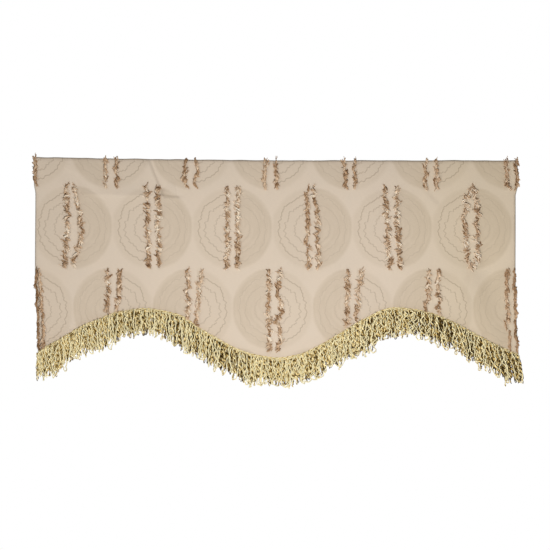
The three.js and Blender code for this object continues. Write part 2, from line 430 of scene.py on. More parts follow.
def jacquardMaterial(name, strength, boundShare):
    material, tree, shader = newMaterial(name)
    add = functools.partial(addNode, tree)
    flat = add("ShaderNodeUVMap", uv_map="flatCloth")
    millimetres = add("ShaderNodeVectorMath", {0: flat, "Scale": 1000.0}, operation="SCALE")
    lattices = [discLattice(tree, millimetres, figure["firstRow"], 1.0),
                discLattice(tree, millimetres, figure["nextRow"], -1.0)]
    tones, lines, stitches = zip(*lattices)
    # Blotches of a slightly warmer ground, and slubs along the threads
    blotch = add("ShaderNodeTexNoise",
                 {"Vector": millimetres, "Scale": 1 / jacquard["blotchMm"], "Detail": 2.0})
    ground = add("ShaderNodeMix",
                 {0: blotch, 6: linear(jacquard["ground"]), 7: linear(jacquard["warmGround"])},
                 data_type="RGBA").outputs[2]
    toned = dyeMarks(tree, ground, tones, "ADD", strength, jacquard["discTone"])
    lined = dyeMarks(tree, toned, lines, "MAXIMUM", strength, jacquard["ringLine"])
    slubSize = (1 / jacquard["slubMm"], jacquard["slubRows"], 1.0)
    drawn = add("ShaderNodeVectorMath", {0: millimetres, 1: slubSize}, operation="MULTIPLY")
    slubs = add("ShaderNodeTexNoise", {"Vector": drawn, "Scale": 1.0, "Detail": 3.0})
    slubShade = add("ShaderNodeMapRange",
                    {0: slubs, **noiseSpan, 3: jacquard["slubDark"], 4: jacquard["slubPale"]})
    shaded = add("ShaderNodeVectorMath", {0: lined, "Scale": slubShade}, operation="SCALE")
    across = add("ShaderNodeSeparateXYZ", {0: millimetres}).outputs["X"]
    aged = add("ShaderNodeMapRange", {0: across, 1: jacquard["agedFromMm"], 2: jacquard["agedToMm"]})
    yellowed = add("ShaderNodeMix", {0: aged, 6: shaded, 7: linear(jacquard["agedEnd"])},
                   data_type="RGBA", blend_type="MULTIPLY").outputs[2]
    stitched = dyeMarks(tree, yellowed, stitches, "MAXIMUM", boundShare, jacquard["boundYarn"])
    # Threads over and under, as bump
    threads = add("ShaderNodeVectorMath", {0: millimetres, "Scale": math.pi / jacquard["threadMm"]},
                  operation="SCALE")
    crossings = add("ShaderNodeVectorMath", {0: threads}, operation="SINE")
    sides = add("ShaderNodeSeparateXYZ", {0: crossings}).outputs
    overUnder = add("ShaderNodeMath", {0: sides["X"], 1: sides["Y"]}, operation="MULTIPLY")
    relief = add("ShaderNodeMath", {0: slubs, 1: jacquard["slubRelief"], 2: overUnder},
                 operation="MULTIPLY_ADD")
    bump = add("ShaderNodeBump",
               {"Height": relief, "Strength": jacquard["bump"], "Distance": jacquard["bumpDepth"]})
    wire(tree, shader, {
        "Base Color": stitched,
        "Normal": bump,
        "Roughness": jacquard["roughness"],
        "Sheen Weight": jacquard["sheen"],
        "Sheen Roughness": jacquard["sheenRoughness"],
    })
    return material


# What both yarns have in common: the reach and the bump of the grooves between their plies
grooves = {"grooveTo": 0.4, "bump": 0.5}
# Clipped eyelash yarn: matt brown and fawn ends of many tones, lighter at their tips
eyelashLook = {
    **grooves,
    "tones": ["#6c5034", "#9f7b59", "#cfae8c", "#ecd5b9", "#fff2de"],
    "tipLight": 16.0,  # tone added for each metre along a yarn
    "twistPitch": 0.005,
    "marl": 0.0,
    "grooveShade": 0.9,
    "grooveDepth": 0.0002,
    "roughness": 0.8,
    "lustre": 0.1,
    "lustreTint": "#f0d8b8",
}
# Rayon chainette: a lustrous gold loop yarn; its dark olive tones are partly a darker ply and partly painted
# shade
fringeLook = {
    **grooves,
    "tones": ["#352102", "#8d6a22", "#e6c170", "#ffe49a", "#fff3c6"],
    "tipLight": 0.0,
    "twistPitch": 0.015,
    "marl": 0.62,  # one ply is paler than the other
    "grooveShade": 0.8,
    "grooveDepth": 0.0004,
    "roughness": 0.26,
    "lustre": 1.0,
    "lustreTint": "#ffe7a8",
}


# Yarn whose tone goes from strand to strand, with the plies of its twist as bump and shade
def yarnMaterial(name, look):
    material, tree, shader = newMaterial(name)
    add = functools.partial(addNode, tree)
    read = {label: add("ShaderNodeAttribute", attribute_name=label).outputs
            for label in ("yarnTone", "alongYarn", "aroundYarn", "twistStart")}
    tone, along, start = [read[label]["Fac"] for label in ("yarnTone", "alongYarn", "twistStart")]
    section = add("ShaderNodeSeparateXYZ", {0: read["aroundYarn"]["Vector"]}).outputs
    angle = add("ShaderNodeMath", {0: section["Y"], 1: section["X"]}, operation="ARCTAN2")
    begun = add("ShaderNodeMath", {0: start, 1: 2 * math.pi, 2: angle}, operation="MULTIPLY_ADD")
    turns = add("ShaderNodeMath", {0: along, 1: 2 * math.pi / look["twistPitch"], 2: begun},
                operation="MULTIPLY_ADD")
    plies = add("ShaderNodeMath", {0: turns}, operation="SINE")
    tipped = add("ShaderNodeMath", {0: along, 1: look["tipLight"], 2: tone}, operation="MULTIPLY_ADD")
    marled = add("ShaderNodeMath", {0: plies, 1: look["marl"], 2: tipped}, operation="MULTIPLY_ADD")
    ramp = add("ShaderNodeValToRGB", {"Fac": marled})
    last = len(look["tones"]) - 1
    setStops(ramp, [(i / last, linear(colour)) for i, colour in enumerate(look["tones"])])
    groove = add("ShaderNodeMapRange",
                 {0: plies, 1: -1.0, 2: look["grooveTo"], 3: look["grooveShade"], 4: 1.0})
    shaded = add("ShaderNodeVectorMath", {0: ramp, "Scale": groove}, operation="SCALE")
    bump = add("ShaderNodeBump",
               {"Height": plies, "Strength": look["bump"], "Distance": look["grooveDepth"]})
    wire(tree, shader, {
        "Base Color": shaded,
        "Normal": bump,
        "Roughness": look["roughness"],
        "Specular IOR Level": look["lustre"],
        "Specular Tint": linear(look["lustreTint"]),
    })
    return material


# A geometry tree with a named input for each size
def newTree(name, sizes):
    tree = bpy.data.node_groups.new(name, "GeometryNodeTree")
    tree.interface.new_socket("Geometry", in_out="INPUT", socket_type="NodeSocketGeometry")
    for label, value in sizes.items():
        kind = "NodeSocketInt" if isinstance(value, int) else "NodeSocketFloat"
        tree.interface.new_socket(label, in_out="INPUT", socket_type=kind)
    tree.interface.new_socket("Material", in_out="INPUT", socket_type="NodeSocketMaterial")
    tree.interface.new_socket("Geometry", in_out="OUTPUT", socket_type="NodeSocketGeometry")
    return tree, addNode(tree, "NodeGroupInput").outputs


# Runs a tree on a base mesh and keeps the result as a plain mesh
def grow(name, baseMesh, tree, sizes, material):
    piece = newObject(name, baseMesh)
    modifier = piece.modifiers.new("grow", "NODES")
    modifier.node_group = tree
    values = {**sizes, "Material": material}
    for item in tree.interface.items_tree:
        if item.in_out == "INPUT" and item.name in values:
            modifier[item.identifier] = values[item.name]
    graph = bpy.context.evaluated_depsgraph_get()
    made = bpy.data.meshes.new_from_object(piece.evaluated_get(graph), preserve_all_data_layers=True,
                                           depsgraph=graph)
    piece.modifiers.remove(modifier)
    piece.data = made
    made.name = name
    bpy.data.meshes.remove(baseMesh)
    made.calc_loop_triangles()
    print(name, "has", len(made.loop_triangles), "triangles")
    return piece


# A base mesh of open lines, with each point's numbers by name
def lineMesh(name, lines, numbers):
    points = [point for line in lines for point in line]
    edges = []
    start = 0
    for line in lines:
        edges += [(start + i, start + i + 1) for i in range(len(line) - 1)]
        start += len(line)
    mesh = bpy.data.meshes.new(name)
    mesh.from_pydata(points, edges, [])
    for label, values in numbers.items():
        mesh.attributes.new(label, "FLOAT", "POINT").data.foreach_set("value", values)
    return mesh


# Random seeds of the eyelash yarns, of the loops and of all yarn
seeds = {
    "strandTone": 31,
    "lockTone": 32,
    "lockTilt": 33,
    "yarnTurn": 34,
    "yarnLength": 35,
    "lockWay": 36,
    "yarnBack": 37,
    "yarnScatter": 38,
    "lockShift": 39,
    "loopLength": 77,
    "loopHand": 78,
    "loopLean": 79,
    "twist": 91,
}


# Ends a tree: curves become yarn of a few sides, with the numbers that the yarn's material reads
def finishYarn(tree, given, curves, sides):
    add = functools.partial(addNode, tree)
    along = add("GeometryNodeSplineParameter").outputs["Length"]
    yarn = add("GeometryNodeCurveOfPoint").outputs["Curve Index"]
    start = add("FunctionNodeRandomValue", {7: yarn, 8: seeds["twist"]}).outputs[1]
    for label, value in {"alongYarn": along, "twistStart": start}.items():
        curves = add("GeometryNodeStoreNamedAttribute", {"Geometry": curves, "Name": label, "Value": value},
                     data_type="FLOAT", domain="POINT")
    ring = add("GeometryNodeCurvePrimitiveCircle", {"Resolution": sides, "Radius": given["Yarn radius"]},
               mode="RADIUS")
    place = add("GeometryNodeInputPosition")
    unit = add("ShaderNodeVectorMath", {0: place}, operation="NORMALIZE")
    section = add("GeometryNodeStoreNamedAttribute", {"Geometry": ring, "Name": "aroundYarn", "Value": unit},
                  data_type="FLOAT_VECTOR", domain="POINT")
    tube = add("GeometryNodeCurveToMesh", {"Curve": curves, "Profile Curve": section, "Fill Caps": True})
    smooth = add("GeometryNodeSetShadeSmooth", {"Geometry": tube})
    dyed = add("GeometryNodeSetMaterial", {"Geometry": smooth, "Material": given["Material"]})
    add("NodeGroupOutput", {"Geometry": dyed})


# Places from low to high, a grid step apart and closer within the fine stretch
def spacedOut(low, high, fine):
    places = []
    for start, end, step in ((low, fine[0], "gridStep"), (*fine, "fineStep"), (fine[1], high, "gridStep")):
        count = math.ceil((end - start) / panel[step])
        places += [start + (end - start) * i / count for i in range(count)]
    return places + [high]


# Panel: the thin hung sheet, with a turned edge at its top and sides
def makeCloth():
    half = panel["width"] / 2
    roll = panel["edgeRoll"]
    inner = spacedOut(-half + roll, half - roll, panel["fineAcross"])
    rim = [roll * share for share in panel["rimShares"]]
    columns = [-half + r for r in rim] + inner + [half - r for r in reversed(rim)]
    evenFrom = panel["fineDown"][1]
    upper = spacedOut(roll, evenFrom, panel["fineDown"])[:-1]
    rows = round((hemDrop(0) - evenFrom) / panel["gridStep"])
    points = []
    flat = []
    for x in columns:
        deepest = hemDrop(x) + panel["behindHead"]
        drops = rim + upper + [evenFrom + (deepest - evenFrom) * i / rows for i in range(rows + 1)]
        for drop in drops:
            fromEdge = min(half - abs(x), drop)
            curl = max(0.0, 1 - fromEdge / roll)
            behind = smoothStep(drop, hemDrop(x) + panel["hemBackFrom"], deepest)
            points.append(onCloth(x, drop, -panel["edgeBack"] * curl * curl - panel["hemBack"] * behind))
            flat.append((x - panel["offGrain"] * drop, drop))
    tall = len(drops)
    firsts = [c * tall + r for c in range(len(columns) - 1) for r in range(tall - 1)]
    faces = [(first, first + 1, first + tall + 1, first + tall) for first in firsts]
    mesh = bpy.data.meshes.new("valance_cloth")
    mesh.from_pydata(points, [], faces)
    layer = mesh.uv_layers.new(name="flatCloth")
    for corner in mesh.loops:
        layer.data[corner.index].uv = flat[corner.vertex_index]
    mesh.shade_smooth()
    for face in clothFaces:
        mesh.materials.append(jacquardMaterial(**face))
    cloth = newObject("valance_cloth", mesh)
    body = cloth.modifiers.new("thickness", "SOLIDIFY")
    body.thickness = panel["thickness"]
    body.offset = 0.0
    body.material_offset = 1
    print("valance_cloth has", 2 * len(faces), "faces")
    return cloth


# Eyelash stripes: a pair down the middle of each disc
stripes = {
    "pitch": 0.2115,
    "above": 0.103,
    "below": 0.108,
    "spacing": 0.028,
    "overTop": 0.005,
    "aboveHem": 0.007,
    "outermost": 0.633,
    "pastSide": 0.025,
    "pointStep": 0.004,
    "wiggle": 0.00672,
    "wiggleLength": 0.015,
    "wiggleOwn": 40,  # how fast the wiggle changes from stripe to stripe
    "seed": 7,
}
discRows = tableOf(
    "drop firstX count combed",
    (-0.040, -0.647, 7, 0.75),
    (0.173, -0.536, 6, 0.15),
    (0.391, -0.641, 7, 0.35),
)
# Stripes that stray aside at their top, middle and bottom, or are combed flatter than others
stripeStrays = tableOf(
    "row disc side top middle bottom combed",
    (1, 0, -1, -0.002, 0.000, -0.007, 0.15),
    (1, 0, 1, -0.009, 0.007, -0.011, 0.2),
    (1, 1, -1, -0.004, 0.001, 0.004, 0.15),
    (1, 3, -1, -0.002, -0.001, 0.005, 0.7),
    (1, 3, 1, -0.007, -0.002, -0.002, 0.25),
    (1, 4, -1, -0.006, 0.000, 0.006, 0.15),
    (1, 4, 1, -0.004, 0.000, 0.004, 0.15),
    (1, 5, -1, -0.002, -0.004, -0.001, 0.2),
    (1, 5, 1, -0.003, -0.002, 0.001, 0.2),
    (2, 0, -1, 0.000, 0.000, 0.000, 1.0),
    (2, 0, 1, 0.003, 0.007, 0.009, 0.95),
    (2, 1, 1, 0.004, 0.000, -0.004, 0.5),
    (2, 2, 1, 0.007, 0.002, -0.007, 0.4),
    (2, 3, -1, 0.003, 0.000, 0.005, 0.35),
    (2, 3, 1, 0.005, 0.009, 0.002, 0.25),
    (2, 4, 1, 0.007, 0.001, -0.007, 0.3),
    (2, 5, -1, 0.004, 0.001, -0.006, 0.4),
    (2, 6, -1, -0.001, -0.003, -0.001, 0.95),
    (2, 6, 1, 0.000, 0.001, 0.000, 0.95),
)
# Stripes near the sides that are narrower, and darker or paler
thinStripes = tableOf(
    "row disc side width tone",
    (2, 0, -1, 0.12, -0.18),
    (2, 0, 1, 0.4, 0.04),
    (2, 6, -1, 0.6, 0.04),
    (2, 6, 1, 0.45, -0.12),
)
# Places down a stripe, as a share of its length, where it kinks aside
stripeKinks = tableOf(
    "row disc side at aside reach",
    (1, 5, -1, 0.00, 0.010, 0.09),
    (1, 5, -1, 0.30, -0.004, 0.12),
    (1, 5, -1, 1.00, 0.009, 0.09),
    (1, 5, 1, 0.00, -0.009, 0.09),
    (1, 5, 1, 1.00, -0.010, 0.09),
    (1, 0, 1, 0.60, 0.004, 0.12),
    (2, 3, -1, 0.63, 0.006, 0.05),
    (2, 3, 1, 0.27, -0.010, 0.08),
    (2, 3, 1, 0.63, -0.015, 0.05),
)
# Inputs of the eyelash tree
eyelash = {
    "Spacing": 0.00055,
    "Lock": 0.0112,
    "Yarn length": 0.0128,
    "Yarn radius": 0.00095,
    "Stand": 0.0056,
    "Tilt low": 0.32,
    "Tilt high": 1.12,
    "Comb tilt": 1.38,
    "Other way": 0.30,
    "Fan": 0.7,
    "Gather": 0.70,
    "Back share": 0.15,
    "Swing": 0.0032,
    "Swing length": 0.024,
    "Bare share": 0.04,
    "Curl": 0.0028,
    "Scatter": 0.0018,
    "Lock shift": 0.0040,
    "Comb tone": 0.16,
    "Comb calm": 0.55,
    "Tone low": -0.3,
    "Tone high": 1.25,
    "Seed": 5,
}
# The short dense nap that each stripe stands on
nap = {
    **eyelash,
    "Spacing": 0.0009,
    "Lock": 0.0060,
    "Yarn length": 0.0065,
    "Yarn radius": 0.0010,
    "Stand": 0.0024,
    "Fan": 0.6,
    "Gather": 0.3,
    "Back share": 0.4,
    "Bare share": 0.10,
    "Curl": 0.0020,
    "Tone low": -0.2,
    "Tone high": 0.5,
}
# What the eyelash and the nap have in common
lash = {
    "lockNoise": 0.55,  # locks are of uneven length
    "lockUneven": 1.6,
    "lotsApart": 113.0,  # between the random lots of two stripes
    "swingNoise": 1.7,
    "lockToneShare": 0.6,  # the rest of a yarn's tone is its own
    "rootBack": 0.4,  # a yarn is bound in this share of its length back from its lock
    "bendAt": 0.4,
    "crest": 1.5,  # how far a yarn's bend and its tip stand off, in stands
    "tipOff": 0.6,
    "shortest": 0.7,
    "longest": 1.15,
    "backShorter": 0.5,
    "turnStray": (0.25, 0.09, 0.12),
    "curlsInMetre": 120.0,
    "segments": 4,
    "sides": 3,
}


# The rows of a table that are about one stripe
def aboutStripe(table, stripe):
    return [row for row in table if (row["row"], row["disc"], row["side"]) == stripe]


# The lines of one row of stripes on the cloth's front, with how combed, how wide and how dark each is
def stripeLines(rowIndex):
    row = discRows[rowIndex]
    outermost = stripes["outermost"]
    lines = []
    numbers = {"combed": [], "stripeWidth": [], "stripeTone": []}
    for disc, side in ((disc, side) for disc in range(row["count"]) for side in (-1, 1)):
        woven = row["firstX"] + disc * stripes["pitch"] + side * stripes["spacing"] / 2
        x = max(-outermost, min(outermost, woven))
        if abs(woven - x) >= stripes["pastSide"]:
            continue
        top = max(row["drop"] - stripes["above"], -stripes["overTop"])
        bottom = min(row["drop"] + stripes["below"], hemDrop(x) - stripes["aboveHem"])
        own = {"top": 0.0, "middle": 0.0, "bottom": 0.0, "combed": row["combed"], "width": 1.0, "tone": 0.0}
        for found in aboutStripe([*stripeStrays, *thinStripes], (rowIndex, disc, side)):
            own.update(found)
        bends = [{"at": i / 2, "off": own[place]} for i, place in enumerate(("top", "middle", "bottom"))]
        kinks = aboutStripe(stripeKinks, (rowIndex, disc, side))
        count = round((bottom - top) / stripes["pointStep"])
        line = []
        for i in range(count + 1):
            share = i / count
            drop = top + (bottom - top) * share
            wavePlace = (woven * stripes["wiggleOwn"], drop / stripes["wiggleLength"], stripes["seed"])
            off = eased(bends, "at", "off", share) + stripes["wiggle"] * noise.noise(Vector(wavePlace))
            for kink in kinks:
                away = (share - kink["at"]) / kink["reach"]
                off += kink["aside"] * math.exp(-away * away)
            offX = max(-outermost, min(outermost, x + off))
            line.append(onCloth(offX, drop, panel["thickness"] / 2))
        lines.append(line)
        for label, column in zip(numbers, ("combed", "width", "tone")):
            numbers[label] += [own[column]] * len(line)
    return lines, numbers


# Short cut ends of yarn across each stripe, in small bundles that lean and swing together
def eyelashTree():
    tree, given = newTree("eyelashYarn", eyelash)
    add = functools.partial(addNode, tree)
    along, number, combed, wide, darker, ownTilt, ownSize = [
        add("GeometryNodeInputNamedAttribute", {"Name": label}, data_type="FLOAT").outputs[0]
        for label in ("alongStripe", "stripeNumber", "combed", "stripeWidth", "stripeTone",
                      "tilt", "yarnSize")]
    lines = add("GeometryNodeMeshToCurve", {"Mesh": given["Geometry"]})
    ruled = add("GeometryNodeResampleCurve", {"Curve": lines, "Length": given["Spacing"]}, mode="LENGTH")
    fromTop = add("GeometryNodeSplineParameter").outputs["Length"]
    stripe = add("GeometryNodeCurveOfPoint").outputs["Curve Index"]
    for label, value in {"alongStripe": fromTop, "stripeNumber": stripe}.items():
        ruled = add("GeometryNodeStoreNamedAttribute", {"Geometry": ruled, "Name": label, "Value": value},
                    data_type="FLOAT", domain="POINT")
    spots = add("GeometryNodeCurveToPoints", {"Curve": ruled}, mode="EVALUATED")
    # Which bundle a yarn is in, and where in it
    paced = add("ShaderNodeMath", {0: along, 1: given["Lock"]}, operation="DIVIDE")
    wander = add("ShaderNodeCombineXYZ", {"X": paced, "Y": number})
    uneven = add("ShaderNodeTexNoise", {"Vector": wander, "Scale": lash["lockNoise"], "Detail": 0.0})
    phase = add("ShaderNodeMath", {0: uneven, 1: lash["lockUneven"], 2: paced}, operation="MULTIPLY_ADD")
    bundle = add("ShaderNodeMath", {0: phase}, operation="FLOOR")
    within = add("ShaderNodeMath", {0: phase}, operation="FRACT")
    inBundle = add("ShaderNodeMath", {0: within, 1: 0.5}, operation="SUBTRACT")
    bundleId = add("ShaderNodeMath", {0: number, 1: lash["lotsApart"], 2: bundle}, operation="MULTIPLY_ADD")
    # Each lock's own lot: whether it is bare, which way and how steeply it leans, and its tone
    bareLot = add("FunctionNodeRandomValue", {7: bundleId, 8: given["Seed"]}).outputs[1]
    bare = add("FunctionNodeCompare", {0: bareLot, 1: given["Bare share"]}, operation="LESS_THAN")
    lockTone = add("FunctionNodeRandomValue", {7: bundleId, 8: seeds["lockTone"]}).outputs[1]
    lockTilt = add("FunctionNodeRandomValue",
                   {2: given["Tilt low"], 3: given["Tilt high"], 7: bundleId, 8: seeds["lockTilt"]})
    laid = add("ShaderNodeMix", {0: combed, 2: lockTilt.outputs[1], 3: given["Comb tilt"]})
    wayLot = add("FunctionNodeRandomValue", {7: bundleId, 8: seeds["lockWay"]}).outputs[1]
    rightward = add("ShaderNodeMath", {0: wayLot, 1: given["Other way"]}, operation="GREATER_THAN")
    # Lean of a yarn: the lock's own, fanned, and turned round for the few short ends that point back
    fanned = add("ShaderNodeMath", {0: inBundle, 1: given["Fan"], 2: laid}, operation="MULTIPLY_ADD")
    mirrored = add("ShaderNodeMath", {0: math.pi, 1: fanned}, operation="SUBTRACT")
    leaning = add("ShaderNodeMix", {0: rightward, 2: mirrored, 3: fanned})
    backLot = add("FunctionNodeRandomValue", {8: seeds["yarnBack"]}).outputs[1]
    back = add("ShaderNodeMath", {0: backLot, 1: given["Back share"]}, operation="LESS_THAN")
    tilt = add("ShaderNodeMath", {0: back, 1: math.pi, 2: leaning}, operation="MULTIPLY_ADD")
    # Roots drawn together in each lock and set off to the side that it leans from, on a stripe that swings
    gather = add("ShaderNodeMath", {0: given["Lock"], 1: given["Gather"]}, operation="MULTIPLY")
    lift = add("ShaderNodeMath", {0: inBundle, 1: gather}, operation="MULTIPLY")
    swingAt = add("ShaderNodeMath", {0: along, 1: given["Swing length"]}, operation="DIVIDE")
    swingPlace = add("ShaderNodeCombineXYZ", {"X": swingAt, "Y": number})
    swings = add("ShaderNodeTexNoise", {"Vector": swingPlace, "Scale": lash["swingNoise"], "Detail": 0.0})
    swung = add("ShaderNodeMapRange", {0: swings, **noiseSpan, 3: -1.0, 4: 1.0})
    aside = add("ShaderNodeMath", {0: swung, 1: given["Swing"]}, operation="MULTIPLY")
    reachAside = add("ShaderNodeMath", {0: leaning}, operation="COSINE")
    halfBack = add("ShaderNodeMath", {0: given["Yarn length"], 1: -lash["rootBack"]}, operation="MULTIPLY")
    # A combed lock lies beside its neighbours, and each yarn a little off its lock
    shiftLot = add("FunctionNodeRandomValue", {2: -1.0, 3: 1.0, 7: bundleId, 8: seeds["lockShift"]})
    shiftMost = add("ShaderNodeMath", {0: combed, 1: given["Lock shift"]}, operation="MULTIPLY")
    shifted = add("ShaderNodeMath", {0: shiftLot.outputs[1], 1: shiftMost, 2: aside},
                  operation="MULTIPLY_ADD")
    scatterLot = add("FunctionNodeRandomValue", {2: -1.0, 3: 1.0, 8: seeds["yarnScatter"]}).outputs[1]
    scattered = add("ShaderNodeMath", {0: scatterLot, 1: given["Scatter"], 2: shifted},
                    operation="MULTIPLY_ADD")
    reached = add("ShaderNodeMath", {0: reachAside, 1: halfBack, 2: scattered}, operation="MULTIPLY_ADD")
    across = add("ShaderNodeMath", {0: reached, 1: wide}, operation="MULTIPLY")
    shift = add("ShaderNodeCombineXYZ", {"X": across, "Z": lift})
    rooted = add("GeometryNodeSetPosition", {"Geometry": spots, "Offset": shift})
    # Each yarn's tone, tilt and size
    strandTone = add("FunctionNodeRandomValue",
                     {2: given["Tone low"], 3: given["Tone high"], 8: seeds["strandTone"]}).outputs[1]
    tone = add("ShaderNodeMix", {0: lash["lockToneShare"], 2: strandTone, 3: lockTone})
    calm = add("ShaderNodeMath", {0: combed, 1: given["Comb calm"]}, operation="MULTIPLY")
    calmed = add("ShaderNodeMix", {0: calm, 2: tone, 3: given["Comb tone"]})
    ownTone = add("ShaderNodeMath", {0: calmed, 1: darker}, operation="ADD")
    longLot = add("FunctionNodeRandomValue",
                  {2: lash["shortest"], 3: lash["longest"], 8: seeds["yarnLength"]}).outputs[1]
    shorter = add("ShaderNodeMath", {0: back, 1: -lash["backShorter"], 2: 1.0}, operation="MULTIPLY_ADD")
    size = add("ShaderNodeMath", {0: longLot, 1: shorter}, operation="MULTIPLY")
    for label, value in {"yarnTone": ownTone, "tilt": tilt, "yarnSize": size}.items():
        rooted = add("GeometryNodeStoreNamedAttribute", {"Geometry": rooted, "Name": label, "Value": value},
                     data_type="FLOAT", domain="POINT")
    thinned = add("GeometryNodeDeleteGeometry", {"Geometry": rooted, "Selection": bare}, domain="POINT")
    # One yarn: bound at its root, arching forward off the cloth
    bend = add("ShaderNodeMath", {0: given["Yarn length"], 1: lash["bendAt"]}, operation="MULTIPLY")
    crest = add("ShaderNodeMath", {0: given["Stand"], 1: -lash["crest"]}, operation="MULTIPLY")
    tipOff = add("ShaderNodeMath", {0: given["Stand"], 1: -lash["tipOff"]}, operation="MULTIPLY")
    middle = add("ShaderNodeCombineXYZ", {"X": bend, "Y": crest})
    end = add("ShaderNodeCombineXYZ", {"X": given["Yarn length"], "Y": tipOff})
    yarn = add("GeometryNodeCurveQuadraticBezier",
               {"Resolution": lash["segments"], "Start": (0, 0, 0), "Middle": middle, "End": end})
    mostTurn = Vector(lash["turnStray"])
    stray = add("FunctionNodeRandomValue", {0: -mostTurn, 1: mostTurn, 8: seeds["yarnTurn"]},
                data_type="FLOAT_VECTOR")
    turned = add("ShaderNodeCombineXYZ", {"Y": ownTilt})
    turn = add("ShaderNodeVectorMath", {0: stray, 1: turned}, operation="ADD")
    ends = add("GeometryNodeInstanceOnPoints",
               {"Points": thinned, "Instance": yarn, "Rotation": turn, "Scale": ownSize})
    single = add("GeometryNodeRealizeInstances", {"Geometry": ends})
    # Each yarn curls a little
    place = add("GeometryNodeInputPosition")
    curlPlace = add("ShaderNodeVectorMath", {0: place, "Scale": lash["curlsInMetre"]}, operation="SCALE")
    curl = add("ShaderNodeTexNoise", {"Vector": curlPlace, "Scale": 1.0, "Detail": 1.0}).outputs["Color"]
    swing = add("ShaderNodeVectorMath", {0: curl, 1: (0.5, 0.5, 0.5)}, operation="SUBTRACT")
    reach = add("ShaderNodeMath", {0: given["Curl"], 1: 2.0}, operation="MULTIPLY")
    offset = add("ShaderNodeVectorMath", {0: swing, "Scale": reach}, operation="SCALE")
    curled = add("GeometryNodeSetPosition", {"Geometry": single, "Offset": offset})
    finishYarn(tree, given, curled, lash["sides"])
    return tree


# Loop fringe along the hem: a corded head and five layers of loops
fringe = {
    "headGap": 0.0004,
    "headInset": 0.002,  # from each end of the hem
    "headSides": 6,
    "rootDrop": 0.005,  # the loops start within the head
    "pointStep": 0.004,
}
# Inputs of the loop tree, with a column for each layer from the back to the front
layers = ("fringe_loops_rear", "fringe_painted_shade_skirt", "fringe_loops_back", "fringe_loops_over", "fringe_loops_front")
layerSizes = {
    "Loop count": (190, 270, 205, 125, 150),
    "Loop length": (0.057, 0.058, 0.066, 0.0715, 0.070),
    "Length spread": (0.05, 0.06, 0.08, 0.10, 0.08),
    "Clump": (0.025,) * 5,
    "Clump spread": (0.08, 0.08, 0.09, 0.10, 0.10),
    "Loop width": (0.0042, 0.006, 0.0050, 0.014, 0.0060),
    "Turns": (1.0, 1.0, 0.9, 0.15, 0.9),
    "Lean stray": (0.07, 0.06, 0.09, 0.18, 0.10),
    "Yarn radius": (0.0014, 0.0024, 0.0012, 0.0015, 0.00115),
    "Crinkle": (0.0024, 0.0020, 0.0040, 0.0105, 0.0050),
    "Crinkle length": (0.0095, 0.016, 0.0095, 0.015, 0.0095),
    "Root spread": (0.001, 0.001, 0.002, 0.003, 0.002),
    "Lumps": (0.30, 0.1, 0.25, 0.15, 0.20),
    "Lump tone": (0.40, 0.0, 0.35, 0.20, 0.50),
    # painted shade: the skirt and the back layer get dark tones that stand in for the shade between the loops
    "Tone low": (0.3, 0.0, -1.0, 1.5, -0.65),
    "Tone high": (1.0, 0.2, -0.05, 2.1, 1.15),
    # painted shade: tone added for each metre that yarn lies forward of its root, so deeper yarn is darker
    "Painted depth shade": (-60.0, 20.0, 60.0, 40.0, 60.0),
    "End shade": (0.0, 0.0, 0.2, 0.7, 0.3),
    "Points": (36, 22, 70, 74, 74),
    "Seed": (31, 3, 11, 41, 23),
}
# How far in front of the cloth each layer is rooted, and how far in from the hem's ends
layerRoots = {
    "forward": (0.0004, 0.0030, 0.0050, 0.0095, 0.0088),
    "inset": (0.002, 0.002, 0.002, 0.013, 0.002),
}
# What all layers have in common
loop = {
    "densePoints": 80,
    "endPower": 4.0,  # how square a loop's end is
    "fadePower": 10.0,  # the crinkle fades out only close to the root
    "turnStray": (0.03, 0.0, 0.9),
    "narrowest": 0.7,
    "widest": 1.4,
    "deep": 0.75,
    "legApart": 0.03,  # a loop's two legs crinkle in their own ways
    "lumpLength": 0.0085,  # the yarn is a boucle, thick and pale or thin and dark by turns
    "lumpFrom": 0.28,
    "lumpTo": 0.72,
    "lumpOwn": (41.0, 29.0, 53.0),
    "endReach": 0.3,  # the part of a loop round its end that is shaded
    "sides": 4,
}
# How yarn crinkles: each loop's place in the noise, how its waves are drawn out, and how far they go
crinkles = {"own": (37.0, 51.0, 23.0), "drawn": (1.0, 1.0, 0.7), "most": (2.2, 1.4, 1.0)}
# Inputs of the head's tree, and where its cords lie
headCords = {
    "Yarn radius": 0.0014,
    "Crinkle": 0.0036,
    "Crinkle length": 0.007,
    "Tone": 1.10,
    "Tone stray": 1.6,
}
headRows = tableOf(
    "below forward",
    (0.0008, 0.0012),
    (0.0030, 0.0034),
    (0.0054, 0.0058),
)
# Along the hem: which way the loops lean, how far their head sits up, and how far their ends hang low
fringeHang = tableOf(
    "x lean up low",
    (-0.635, -0.10, 0.001, 0.001),
    (-0.605, -0.06, 0.004, 0.003),
    (-0.578, 0.00, 0.004, 0.010),
    (-0.558, 0.02, 0.005, -0.007),
    (-0.520, 0.04, 0.007, -0.006),
    (-0.460, 0.06, 0.003, 0.008),
    (-0.425, 0.04, 0.004, -0.006),
    (-0.400, 0.03, 0.001, -0.004),
    (-0.300, -0.02, 0.001, -0.009),
    (-0.245, -0.04, 0.005, 0.006),
    (-0.195, -0.03, -0.003, 0.009),
    (-0.120, 0.00, -0.002, 0.003),
    (-0.070, 0.02, 0.000, 0.004),
    (-0.040, 0.03, 0.002, -0.007),
    (0.030, 0.02, 0.000, -0.003),
    (0.085, 0.00, -0.002, 0.002),
    (0.185, -0.04, -0.003, 0.011),
    (0.235, -0.06, -0.002, 0.022),
    (0.295, -0.03, 0.003, 0.002),
    (0.360, 0.02, -0.001, -0.003),
    (0.430, 0.05, 0.000, 0.004),
    (0.460, 0.06, 0.000, -0.002),
    (0.525, 0.10, 0.000, 0.008),
    (0.600, 0.18, 0.000, 0.014),
    (0.635, 0.23, 0.000, 0.008),
)
